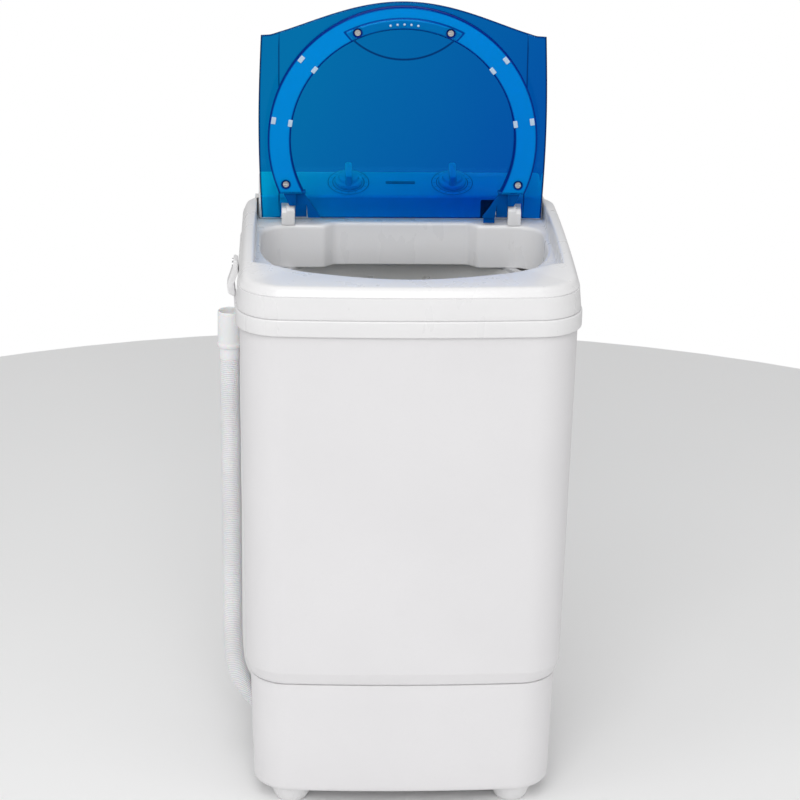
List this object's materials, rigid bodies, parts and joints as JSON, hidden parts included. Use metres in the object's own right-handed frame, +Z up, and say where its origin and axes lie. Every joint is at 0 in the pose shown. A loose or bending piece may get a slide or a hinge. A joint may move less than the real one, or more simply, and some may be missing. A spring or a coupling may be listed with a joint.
{
  "type": "top load washing machine",
  "caption": "Small portable single-tub top loading washing machine with a hinged see-through lid, rotary dials, belt-driven pulsator and side drain hose.",
  "frame": {"origin": "middle of the footprint, on the floor the feet stand on", "axes": "+Z up; +Y towards the back, so the front faces -Y; +X to the right seen from the front"},
  "size_m": [0.394, 0.3666, 0.8669],
  "materials": {
    "white_plastic": "moulded, satin gloss",
    "clear_blue": "translucent tinted, polished",
    "sky_plastic": "translucent tinted, polished",
    "hose_plastic": "corrugated, satin",
    "grey_plastic": "moulded, matt",
    "dark_plastic": "moulded, matt",
    "seal_rubber": "matt",
    "steel": "zinc plated",
    "cast_metal": "die cast, satin"
  },
  "bodies": {
    "housing": {"base": "white_plastic", "underside_cover": "grey_plastic", "underside_screws": "steel", "feet": "white_plastic", "foot_screws": "steel", "cabinet": "white_plastic", "cabinet_screws": "steel", "rear_panel": "white_plastic", "rear_panel_screws": "steel", "top_cover": "white_plastic", "cover_screws": "steel", "control_panel": "white_plastic", "panel_screws": "steel", "dial_rings": "white_plastic", "wash_timer": "grey_plastic", "selector_switch": "dark_plastic", "hinge_posts": "white_plastic", "hinge_pins": "steel", "lid_switch": "dark_plastic", "wash_tub": "white_plastic", "tub_gasket": "seal_rubber", "tub_screws": "steel", "shaft_seal": "seal_rubber", "shaft_bearings": "steel", "bearing_housing": "cast_metal", "housing_bolts": "steel", "motor_plate": "steel", "motor_body": "cast_metal", "motor_bolts": "steel", "drive_belt": "seal_rubber", "capacitor": "white_plastic", "capacitor_strap": "steel", "drain_elbow": "seal_rubber", "hose_clamp": "steel", "drain_hose": "hose_plastic", "hose_cuff": "hose_plastic", "hose_holder": "white_plastic", "holder_screws": "steel", "cable_gland": "dark_plastic", "wiring_harness": "dark_plastic"},
    "lid": {"lid_panel": "clear_blue", "lid_ring": "sky_plastic", "lid_screws": "steel"},
    "timer_dial": {"timer_knob": "white_plastic", "timer_shaft": "steel"},
    "selector_dial": {"selector_knob": "white_plastic", "selector_shaft": "steel"},
    "door_plunger": {"switch_plunger": "dark_plastic"},
    "rotor": {"motor_rotor": "steel", "motor_fan": "dark_plastic", "motor_pulley": "cast_metal"},
    "agitator": {"pulsator": "white_plastic", "pulsator_screw": "steel", "drive_shaft": "steel", "drive_pulley": "cast_metal", "pulley_nut": "steel"}
  },
  "joints": [
    {"name": "lid_hinge", "type": "hinge", "parent": "housing", "child": "lid", "pos_m": [0, 0.104, 0.624], "axis": [1, 0, 0], "range_deg": [0, 92.1]},
    {"name": "timer_turn", "type": "hinge", "parent": "housing", "child": "timer_dial", "pos_m": [-0.06, 0.14625, 0.64825], "axis": [0, 0.3564, -0.9343], "range_deg": [0, 300]},
    {"name": "selector_turn", "type": "hinge", "parent": "housing", "child": "selector_dial", "pos_m": [0.06, 0.14625, 0.64825], "axis": [0, 0.3564, -0.9343], "range_deg": [-60, 60]},
    {"name": "plunger_press", "type": "slide", "parent": "housing", "child": "door_plunger", "axis": [0, 1, 0], "range_m": [0, 0.0021]},
    {"name": "motor_spin", "type": "hinge", "parent": "housing", "child": "rotor", "pos_m": [0.062, 0.086, 0.13], "axis": [0, 0, 1], "continuous": true},
    {"name": "pulsator_spin", "type": "hinge", "parent": "housing", "child": "agitator", "pos_m": [0, 0.01, 0.2], "axis": [0, 0, 1], "continuous": true}
  ],
  "couplings": [
    {"joint": "plunger_press", "follows": "lid_hinge", "m_per_rad": 0.001244},
    {"joint": "motor_spin", "follows": "pulsator_spin", "ratio": 4.622}
  ]
}
